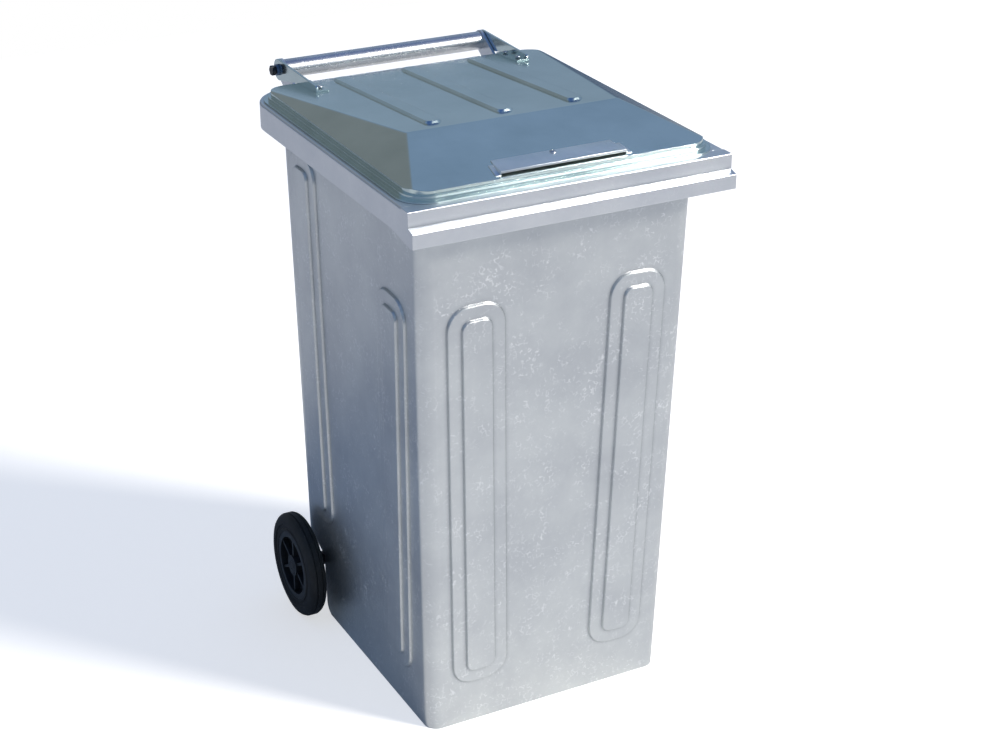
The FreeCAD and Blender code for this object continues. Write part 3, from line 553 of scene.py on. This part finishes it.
@dataclass(frozen=True)
class BrightZincSheet:
    """Bright zinc-coated sheet: rolled smooth, pressed, and passivated.

    It is glossier than the dipped body and shows a faint blue-green cast, with
    only a fine drawn grain and a few soft smears.
    """

    name: str
    base: str = "cddcdc"
    smear: str = "c0d0d0"
    smear_mm: float = 160.0
    grain_mm: float = 3.0
    roughness: float = 0.16
    metallic: float = 0.97
    edge_mm: float = 1.0

    def material(self) -> bpy.types.Material:
        """Builds the node material.

        Returns:
            The finish, patterned in millimetres on object coordinates.
        """
        material, tree = new_material(self.name)
        place = add_node(tree, "ShaderNodeTexCoord").outputs["Object"]
        smears = add_noise(tree, place, self.smear_mm, Detail=4.0, Roughness=0.55)
        colour = add_ramp(
            tree, smears.outputs["Fac"], [(0.36, linear(self.smear)), (0.62, linear(self.base))]
        )
        # the rolling grain runs front to back, so the pattern is stretched along Y
        drawn = add_node(
            tree,
            "ShaderNodeMapping",
            inputs={"Vector": place, "Scale": Vector((1.0, 0.08, 1.0))},
        )
        grain = add_noise(tree, drawn.outputs["Vector"], self.grain_mm, Detail=3.0)
        rounded = add_rounding(tree, self.edge_mm)
        add_surface(
            tree,
            base_color=colour,
            metallic=self.metallic,
            # the smears vary the gloss by 0.07 either way
            roughness=add_math(
                tree, "MULTIPLY_ADD", smears.outputs["Fac"], 0.14, self.roughness - 0.07
            ),
            normal=add_bump(tree, 0.04, 0.2, grain.outputs["Fac"], Normal=rounded),
        )
        return material


@dataclass(frozen=True)
class BlackPart:
    """Black moulded polypropylene, vulcanised rubber or blackened steel.

    Carbon black gives all three a near-black body; the mould's fine spark
    texture, or the rubber's bloom, decides how much it shines.
    """

    name: str
    base: str
    worn: str
    grain_mm: float
    roughness: float
    metallic: float = 0.0
    bump: float = 0.2

    def material(self) -> bpy.types.Material:
        """Builds the node material.

        Returns:
            The finish, patterned in millimetres on object coordinates.
        """
        material, tree = new_material(self.name)
        place = add_node(tree, "ShaderNodeTexCoord").outputs["Object"]
        dust_and_shade = add_noise(tree, place, 18.0 * self.grain_mm, Detail=6.0, Roughness=0.65)
        grain = add_noise(tree, place, self.grain_mm, Detail=2.0)
        add_surface(
            tree,
            base_color=add_ramp(
                tree, dust_and_shade.outputs["Fac"], [(0.42, linear(self.base)), (0.78, linear(self.worn))]
            ),
            metallic=self.metallic,
            roughness=self.roughness,
            normal=add_bump(tree, self.bump, 0.15, grain.outputs["Fac"]),
        )
        return material


@dataclass(frozen=True)
class StudioFloor:
    """Pale painted studio floor that keeps the object's shadow.

    The paint is lit for every ray, so metal shows the floor and its shadow; the
    camera sees it lifted to white. Far behind on the left the paint turns greyer:
    painted shade, which the bin's left side mirrors as shaded ground.
    """

    name: str = "studio_floor_paint"
    paint: str = "d6d6d5"
    # painted shade: the floor's grey far behind on the left, mirrored by the bin's left side
    far_painted_shade: str = "b2b5ba"
    far_toward: tuple[float, float, float] = (-0.5, 0.87, 0.0)
    fade_from: float = 1.0
    fade_to: float = 2.0
    seen_glow: float = 0.6
    mirrored_glow: float = 0.02

    def material(self) -> bpy.types.Material:
        """Builds the node material.

        Returns:
            A matte paint that also glows for camera, glossy and transmission rays.
        """
        material, tree = new_material(self.name)
        place = add_node(tree, "ShaderNodeTexCoord").outputs["Object"]
        away = add_node(
            tree,
            "ShaderNodeVectorMath",
            {"operation": "DOT_PRODUCT"},
            {0: place, 1: self.far_toward},
        )
        fade = add_node(
            tree,
            "ShaderNodeMapRange",
            {"interpolation_type": "SMOOTHSTEP"},
            {"Value": away.outputs["Value"], "From Min": self.fade_from, "From Max": self.fade_to},
        )
        # painted shade: the paint greys far behind on the left, so that metal mirrors a darker
        # floor
        coat = add_mix(tree, fade.outputs["Result"], linear(self.paint), linear(self.far_painted_shade))
        paint = add_node(tree, "ShaderNodeBsdfDiffuse", inputs={"Color": coat})
        rays = add_node(tree, "ShaderNodeLightPath").outputs
        mirrored = add_math(tree, "MAXIMUM", rays["Is Glossy Ray"], rays["Is Transmission Ray"])
        faint = add_math(tree, "MULTIPLY", mirrored, self.mirrored_glow)
        strength = add_math(tree, "MULTIPLY_ADD", rays["Is Camera Ray"], self.seen_glow, faint)
        glow = add_node(tree, "ShaderNodeEmission", inputs={"Strength": strength})
        total = add_node(
            tree,
            "ShaderNodeAddShader",
            inputs={0: paint.outputs["BSDF"], 1: glow.outputs["Emission"]},
        )
        add_node(tree, "ShaderNodeOutputMaterial", inputs={"Surface": total.outputs["Shader"]})
        return material


@dataclass
class Finishes:
    """Every finish on the bin, each built once."""

    body: bpy.types.Material = field(init=False)
    rim: bpy.types.Material = field(init=False)
    tube: bpy.types.Material = field(init=False)
    lid: bpy.types.Material = field(init=False)
    grip: bpy.types.Material = field(init=False)
    plated: bpy.types.Material = field(init=False)
    plastic: bpy.types.Material = field(init=False)
    rubber: bpy.types.Material = field(init=False)
    bolt: bpy.types.Material = field(init=False)
    bush: bpy.types.Material = field(init=False)
    weld: bpy.types.Material = field(init=False)

    def __post_init__(self) -> None:
        """Builds the materials."""
        self.body = GalvanisedSheet("hot_dip_galvanised_body").material()
        self.rim = GalvanisedSheet(
            "hot_dip_galvanised_rim",
            base="e2e5e8",
            cloud="d6dadf",
            crystal_share=0.3,
            roughness=0.3,
            relief=0.0,
            edge_mm=1.2,
        ).material()
        self.tube = GalvanisedSheet(
            "hot_dip_galvanised_tube",
            base="d8dadc",
            cloud="c6c8ca",
            cloud_mm=40.0,
            cluster_mm=25.0,
            crystal_mm=4.0,
            crystal_share=0.4,
            roughness=0.26,
            relief=0.05,
        ).material()
        self.weld = GalvanisedSheet(
            "galvanised_weld_bead", base="c6cacd", cloud="b4b9bd", cloud_mm=20.0, edge_mm=0.3
        ).material()
        self.lid = BrightZincSheet("bright_zinc_lid_sheet").material()
        self.grip = BrightZincSheet(
            "bright_zinc_grip_strip",
            base="eef2f3",
            smear="e2e8ea",
            smear_mm=60.0,
            roughness=0.3,
            edge_mm=0.5,
        ).material()
        self.plated = BrightZincSheet(
            "zinc_plated_steel",
            base="c8cdd0",
            smear="b2b8bc",
            smear_mm=30.0,
            roughness=0.3,
            edge_mm=0.4,
        ).material()
        self.plastic = BlackPart(
            "moulded_polypropylene_black",
            base="14181c",
            worn="262b30",
            grain_mm=0.8,
            roughness=0.46,
        ).material()
        self.rubber = BlackPart(
            "solid_rubber_black",
            base="0d1012",
            worn="1c2023",
            grain_mm=1.2,
            roughness=0.66,
            bump=0.3,
        ).material()
        self.bush = BlackPart(
            "moulded_nylon_blue_grey", base="4b6483", worn="6d86a3", grain_mm=0.8, roughness=0.3
        ).material()
        self.bolt = BlackPart(
            "blackened_steel",
            base="16191d",
            worn="2c3136",
            grain_mm=0.6,
            roughness=0.34,
            metallic=0.4,
            bump=0.08,
        ).material()


# ---- sub-assemblies ----------------------------------------------------------------------


@dataclass
class WeldBead:
    """A run of fillet weld: overlapping ripples of metal laid along a seam.

    Each ripple is a ball that stands a little flatter than it is wide.
    """

    name: str
    start: Vector
    end: Vector
    radius: float = 1.8 * MM
    pitch: float = 2.2 * MM
    flatness: float = 0.8

    def build(self, material: bpy.types.Material, body: str, slot: str) -> bpy.types.Object:
        """Lays the bead.

        Args:
            material: the finish.
            body: the CAD body that it moves with.
            slot: not used.

        Returns:
            The bead as one mesh.
        """
        run = self.end - self.start
        count = max(2, round(run.length / self.pitch))
        deselect()
        bpy.ops.mesh.primitive_uv_sphere_add(
            segments=8, ring_count=5, radius=self.radius, location=self.start
        )
        ripple = bpy.context.active_object
        ripple.scale = (1.0, 1.0, self.flatness)
        settle(ripple)
        array = ripple.modifiers.new("ripples", "ARRAY")
        array.use_relative_offset = False
        array.use_constant_offset = True
        array.count = count
        array.constant_offset_displace = run / (count - 1)
        apply_modifiers(ripple)
        return finish_piece(ripple, self.name, material, body, angle=60.0)


@dataclass
class BodyShell:
    """The tapered body: wrapper, rear panel and floor pan."""

    finishes: Finishes

    def build(self) -> None:
        """Dresses the sheets."""
        dress(["body_wrapper", "rear_panel", "floor_pan"], self.finishes.body)
        LOG.info("body shell dressed")


@dataclass
class Rim:
    """The rim frame with its skirts, and the stepped front lip."""

    finishes: Finishes

    def build(self) -> None:
        """Dresses the rim and the lip."""
        dress(["rim_frame", "front_lip"], self.finishes.rim)
        LOG.info("rim dressed")


@dataclass
class HandleAndHinge:
    """The handle tube between its ears, with the hinge bolts and bushes."""

    finishes: Finishes
    weld_foot: float = 3.0 * MM
    weld_top: float = 5.0 * MM

    def build(self) -> None:
        """Dresses the handle and the hinge, and welds the ears to the rim."""
        dress(["left_handle_ear", "right_handle_ear"], self.finishes.rim)
        dress(["handle_tube"], self.finishes.tube)
        dress(["tube_plugs"], self.finishes.plastic)
        dress(["hinge_bushes"], self.finishes.bush)
        dress(["hinge_bolts"], self.finishes.bolt)
        for side in Side:
            self.weld_ear(side)
        LOG.info("handle and hinge dressed")

    def weld_ear(self, side: Side) -> None:
        """Lays the fillet weld between the rim's skirt and one ear's inner face.

        Args:
            side: the ear's side.
        """
        ear_low, ear_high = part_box(side.prefix + "_handle_ear")
        rim_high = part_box("rim_frame")[1]
        inner = ear_high.x if side is Side.LEFT else ear_low.x
        WeldBead(
            side.prefix + "_ear_skirt_weld",
            Vector((inner, rim_high.y, ear_low.z + self.weld_foot)),
            Vector((inner, rim_high.y, rim_high.z - self.weld_top)),
        ).build(self.finishes.weld, "bin", "galvanised_rim")


@dataclass
class Lid:
    """The pressed lid with its arms, grip and rivets.

    grip_rear, grip_fold and grip_front are the folds of the grip strip, each as
    half its length, Y and Z of its top face. Each rivet place is a point and a
    tilt about X in degrees.
    """

    finishes: Finishes
    sheet: float = 1.5 * MM
    grip_rear: tuple[float, float, float] = (0.108, -0.2745, 1.02757)
    grip_fold: tuple[float, float, float] = (0.1095, -0.2860, 1.02531)
    grip_front: tuple[float, float, float] = (0.1135, -0.3185, 1.0247)
    grip_foot: float = 1.01895
    foot_slope: float = 0.9
    tab_reach: float = 9.0 * MM
    hem: float = 3.6 * MM
    hem_lean: float = 0.6 * MM
    fold_radius: float = 0.8 * MM
    rivet_head: float = 5.4 * MM
    rivet_rise: float = 0.45
    rivet_cut: float = 0.6 * MM
    dimple_inset: float = 0.3 * MM
    dimple_depth: float = 1.6 * MM
    rivet_places: tuple[tuple[float, float, float, float], ...] = (
        (-0.19375, 0.1953, 1.02745, -7.0),
        (-0.19375, 0.2433, 1.02345, -7.0),
        (0.19375, 0.1953, 1.02745, -7.0),
        (0.19375, 0.2433, 1.02345, -7.0),
        (0.0, -0.2800, 1.0267, 11.1),
    )

    def build(self) -> None:
        """Dresses the lid and builds the grip and the rivets."""
        dress(["lid_panel", "left_lid_arm", "right_lid_arm"], self.finishes.lid)
        self.build_grip()
        self.build_rivets()
        LOG.info("lid dressed")

    def build_grip(self) -> None:
        """Folds the grip strip, which stands for the plain CAD one, from one flat blank."""
        deselect()
        bpy.ops.mesh.primitive_grid_add(x_subdivisions=1, y_subdivisions=2, size=1.0)
        grip = bpy.context.active_object
        rows = (self.grip_front, self.grip_fold, self.grip_rear)
        for vertex in grip.data.vertices:
            half, y, z = rows[round(2.0 * (vertex.co.y + 0.5))]
            vertex.co = Vector((math.copysign(half, vertex.co.x), y, z))
        front_y = self.grip_front[1]
        fold_y = self.grip_fold[1]
        middle_y = (front_y + fold_y) / 2.0
        near = 1.0 * MM
        # end cheeks fold down to the lid, then turn out into small tabs
        for side in Side:
            pick(
                grip,
                "EDGE",
                lambda at: at.x * side.value > 0.1
                and abs(at.y - middle_y) < near
                and at.z > self.grip_foot + near,
            )
            extrude(Vector((0.0, 0.0, self.grip_foot - self.grip_front[2])))
            extrude(Vector((side.value * self.tab_reach, 0.0, 0.0)))
            bpy.ops.object.mode_set(mode="OBJECT")
        # the tabs and the cheeks' feet follow the lid's slope
        slope = (self.grip_rear[2] - self.grip_foot) / (self.grip_rear[1] - front_y)
        for vertex in grip.data.vertices:
            if abs(vertex.co.z - self.grip_foot) < near:
                vertex.co.z = self.grip_foot + (vertex.co.y - front_y) * slope * self.foot_slope
        # the front edge turns down in a hem
        pick(grip, "EDGE", lambda at: abs(at.y - front_y) < near and abs(at.x) < near)
        extrude(Vector((0.0, -self.hem_lean, -self.hem)))
        close_mesh()
        wall = grip.modifiers.new("sheet", "SOLIDIFY")
        wall.thickness = self.sheet
        wall.offset = -1.0
        wall.use_even_offset = True
        soft = grip.modifiers.new("folds", "BEVEL")
        soft.width = self.fold_radius
        soft.segments = 3
        soft.limit_method = "ANGLE"
        soft.angle_limit = math.radians(40.0)
        apply_modifiers(grip)
        finish_piece(grip, "grip_strip", self.finishes.grip, "lid")
        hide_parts("lid_grip")

    def build_rivets(self) -> None:
        """Sets a domed rivet, with the dimple its mandrel leaves, at each place."""
        deselect()
        bpy.ops.mesh.primitive_uv_sphere_add(segments=24, ring_count=16, radius=self.rivet_head)
        head = bpy.context.active_object
        pick(head, "FACE", lambda at: at.z > 0.9 * self.rivet_head)
        bpy.ops.mesh.inset(thickness=self.dimple_inset)
        extrude(Vector((0.0, 0.0, -self.dimple_depth)))
        bpy.ops.mesh.select_all(action="SELECT")
        bpy.ops.mesh.bisect(
            plane_co=(0.0, 0.0, -self.rivet_cut),
            plane_no=(0.0, 0.0, 1.0),
            clear_inner=True,
            use_fill=True,
        )
        close_mesh()
        for vertex in head.data.vertices:
            vertex.co.z *= self.rivet_rise
        made = []
        for x, y, z, tilt in self.rivet_places:
            copy = head.copy()
            copy.data = head.data.copy()
            bpy.context.scene.collection.objects.link(copy)
            turn = Matrix.Rotation(math.radians(tilt), 4, "X")
            copy.matrix_world = Matrix.Translation((x, y, z)) @ turn
            settle(copy)
            made.append(copy)
        bpy.data.objects.remove(head)
        deselect()
        for copy in made:
            copy.select_set(True)
        bpy.context.view_layer.objects.active = made[0]
        bpy.ops.object.join()
        rivets = finish_piece(
            made[0], "lid_rivet_heads", self.finishes.plated, "lid"
        )
        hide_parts("lid_rivets")


@dataclass
class RunningGear:
    """The axle with its brackets, spacers and clips, and the two wheels."""

    finishes: Finishes
    wheel_radius: float = 100.0 * MM
    bore_radius: float = 66.0 * MM
    wheel_half: float = 17.0 * MM
    wheel_middle: float = 272.0 * MM
    axle_y: float = 190.05 * MM
    axle_z: float = 100.0 * MM
    cap_radius: float = 16.0 * MM
    tyre_steps: int = 96
    cap_steps: int = 48

    def build(self) -> None:
        """Dresses the axle and builds the wheels' rubber and caps."""
        dress(["left_axle_bracket", "right_axle_bracket"], self.finishes.body)
        dress(["axle", "axle_clips"], self.finishes.plated)
        dress(["axle_spacers"], self.finishes.plastic)
        for side in Side:
            dress([side.prefix + "_wheel_hub"], self.finishes.plastic)
            self.build_tyre(side)
            self.build_cap(side)
        LOG.info("running gear dressed")

    def build_tyre(self, side: Side) -> None:
        """Turns one solid tyre, with rounded shoulders, a sidewall ring and two tread grooves.

        Args:
            side: the wheel's side.
        """
        half = self.wheel_half
        rim = self.wheel_radius
        bore = self.bore_radius
        wall = [
            (bore, half - 1.2 * MM),
            (bore + 1.2 * MM, half - 0.4 * MM),
            (bore + 5.0 * MM, half - 0.4 * MM),
            (bore + 6.5 * MM, half - 2.2 * MM),
            (bore + 13.0 * MM, half - 2.2 * MM),
            (bore + 14.5 * MM, half),
            (bore + 20.0 * MM, half),
            (rim - 9.5 * MM, half - 0.8 * MM),
            (rim - 5.2 * MM, half - 2.6 * MM),
            (rim - 2.2 * MM, half - 5.6 * MM),
            (rim - 0.5 * MM, half - 9.0 * MM),
            (rim, half - 10.2 * MM),
            (rim - 1.6 * MM, half - 10.8 * MM),
            (rim - 1.6 * MM, half - 12.2 * MM),
            (rim, half - 12.8 * MM),
        ]
        centre = Vector((side.value * self.wheel_middle, self.axle_y, self.axle_z))
        profile = [(radius, centre.x + x) for radius, x in wall]
        profile += [(radius, centre.x - x) for radius, x in reversed(wall)]
        tyre = turn_profile(profile, centre, self.tyre_steps)
        finish_piece(
            tyre,
            side.prefix + "_solid_tyre",
            self.finishes.rubber,
            side.prefix + "_wheel",
            40.0,
        )
        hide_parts(side.prefix + "_tyre")

    def build_cap(self, side: Side) -> None:
        """Turns one hub cap: a shallow dome with a ring groove round its middle.

        Args:
            side: the wheel's side.
        """
        face = self.wheel_half
        radius = self.cap_radius
        outline = [
            (0.0, face - 3.2 * MM),
            (radius - 2.0 * MM, face - 3.2 * MM),
            (radius - 2.0 * MM, face - 6.0 * MM),
            (radius, face - 6.0 * MM),
            (radius, face - 2.2 * MM),
            (radius - 0.6 * MM, face - 1.5 * MM),
            (radius * 0.80, face - 0.9 * MM),
            (radius * 0.60, face - 0.5 * MM),
            (radius * 0.54, face - 1.3 * MM),
            (radius * 0.44, face - 1.3 * MM),
            (radius * 0.38, face - 0.3 * MM),
            (radius * 0.20, face - 0.1 * MM),
            (0.0, face),
        ]
        centre = Vector((side.value * self.wheel_middle, self.axle_y, self.axle_z))
        profile = [(r, centre.x + side.value * x) for r, x in outline]
        cap = turn_profile(profile, centre, self.cap_steps)
        finish_piece(
            cap,
            side.prefix + "_domed_cap",
            self.finishes.plastic,
            side.prefix + "_wheel",
            35.0,
        )
        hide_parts(side.prefix + "_hub_cap")


# ---- studio ------------------------------------------------------------------------------


@dataclass
class Studio:
    """Floor, lights and the camera at the photograph's viewing angle.

    Angles are in degrees and lengths in metres. Each stop of the sky is a
    height, from 0 straight down to 1 straight up, and its colour.
    """

    floor_half: float = 4.0
    key_direction: tuple[float, float] = (44.0, 32.0)
    key_strength: float = 5.0
    key_softness: float = 13.0
    key_colour: str = "fff8ee"
    sky: tuple[tuple[float, str], ...] = (
        (0.5, "50617a"),
        (0.56, "8498ae"),
        (0.62, "9cadbf"),
        (0.7, "7d94b2"),
        (0.86, "879dbc"),
        (0.95, "3c5f9c"),
    )
    flag: str = "84888a"
    flag_toward: tuple[float, float, float] = (-0.2, 0.79, 0.58)
    flag_edge: tuple[float, float] = (0.86, 0.94)
    sky_strength: float = 1.0
    azimuth: float = -28.03
    elevation: float = 25.58
    roll: float = 0.23
    distance: float = 3.6122
    target: tuple[float, float, float] = (0.02703, -0.05495, 0.53469)
    lens: float = 73.31

    def build(self) -> None:
        """Builds the studio."""
        self.lay_floor()
        self.light()
        self.place_camera()

    def lay_floor(self) -> None:
        """Lays the floor under the wheels."""
        deselect()
        bpy.ops.mesh.primitive_plane_add(size=2.0 * self.floor_half, location=(0.0, 0.0, 0.0))
        floor = settle(bpy.context.active_object)
        floor.name = "studio_floor"
        floor.data.materials.append(StudioFloor().material())

    def light(self) -> None:
        """Hangs one broad key lamp and fills with a cool sky."""
        toward = direction(*(math.radians(angle) for angle in self.key_direction))
        lamp = bpy.data.lights.new("key_lamp", "SUN")
        lamp.energy = self.key_strength
        lamp.angle = math.radians(self.key_softness)
        lamp.color = linear(self.key_colour)[:3]
        key = bpy.data.objects.new("key_lamp", lamp)
        key.rotation_euler = toward.to_track_quat("Z", "Y").to_euler()
        bpy.context.scene.collection.objects.link(key)
        self.hang_sky()

    def hang_sky(self) -> None:
        """Wraps the studio in a cool sky with a grey card behind on the left."""
        world = bpy.data.worlds.new("studio_sky")
        world.use_nodes = True
        tree = world.node_tree
        tree.nodes.clear()
        place = add_node(tree, "ShaderNodeTexCoord").outputs["Generated"]
        toward = add_node(tree, "ShaderNodeSeparateXYZ", inputs={"Vector": place})
        height = add_math(tree, "MULTIPLY_ADD", toward.outputs["Z"], 0.5, 0.5)
        dome = add_ramp(tree, height, [(stop, linear(code)) for stop, code in self.sky])
        # a card hung behind on the left, which only the lid's left facet mirrors
        facing = add_node(
            tree,
            "ShaderNodeVectorMath",
            {"operation": "DOT_PRODUCT"},
            {0: place, 1: Vector(self.flag_toward).normalized()},
        )
        from_edge, to_full = self.flag_edge
        card = add_node(
            tree,
            "ShaderNodeMapRange",
            {"interpolation_type": "SMOOTHSTEP"},
            {"Value": facing.outputs["Value"], "From Min": from_edge, "From Max": to_full},
        )
        colour = add_mix(tree, card.outputs["Result"], dome, linear(self.flag))
        # the camera sees plain white beyond the floor; everything else sees the sky
        camera = add_node(tree, "ShaderNodeLightPath").outputs["Is Camera Ray"]
        seen = add_mix(tree, camera, colour, grey(1.0))
        sky = add_node(
            tree, "ShaderNodeBackground", inputs={"Color": seen, "Strength": self.sky_strength}
        )
        add_node(tree, "ShaderNodeOutputWorld", inputs={"Surface": sky.outputs["Background"]})
        bpy.context.scene.world = world

    def place_camera(self) -> None:
        """Places the camera where the photograph was taken from."""
        back = direction(math.radians(self.azimuth), math.radians(self.elevation))
        roll = math.radians(self.roll)
        level = Vector((0.0, 0.0, 1.0)).cross(back).normalized()
        rise = back.cross(level)
        right = level * math.cos(roll) + rise * math.sin(roll)
        up = rise * math.cos(roll) - level * math.sin(roll)
        data = bpy.data.cameras.new("photo_camera")
        data.sensor_width = 36.0
        data.lens = self.lens
        data.clip_end = 200.0
        camera = bpy.data.objects.new("photo_camera", data)
        turn = Matrix((right, up, back)).transposed().to_4x4()
        camera.matrix_world = Matrix.Translation(Vector(self.target) + back * self.distance) @ turn
        bpy.context.scene.collection.objects.link(camera)
        bpy.context.scene.camera = camera
        bpy.context.scene.view_settings.view_transform = "Standard"


def main() -> None:
    """Builds the finishes, dresses each sub-assembly and sets up the studio."""
    logging.basicConfig(level=logging.INFO, format="%(name)s %(message)s")
    finishes = Finishes()
    for assembly in (
        BodyShell(finishes),
        Rim(finishes),
        HandleAndHinge(finishes),
        Lid(finishes),
        RunningGear(finishes),
        Studio(),
    ):
        assembly.build()
        LOG.info("%s built", type(assembly).__name__)


if __name__ == "__main__":
    main()
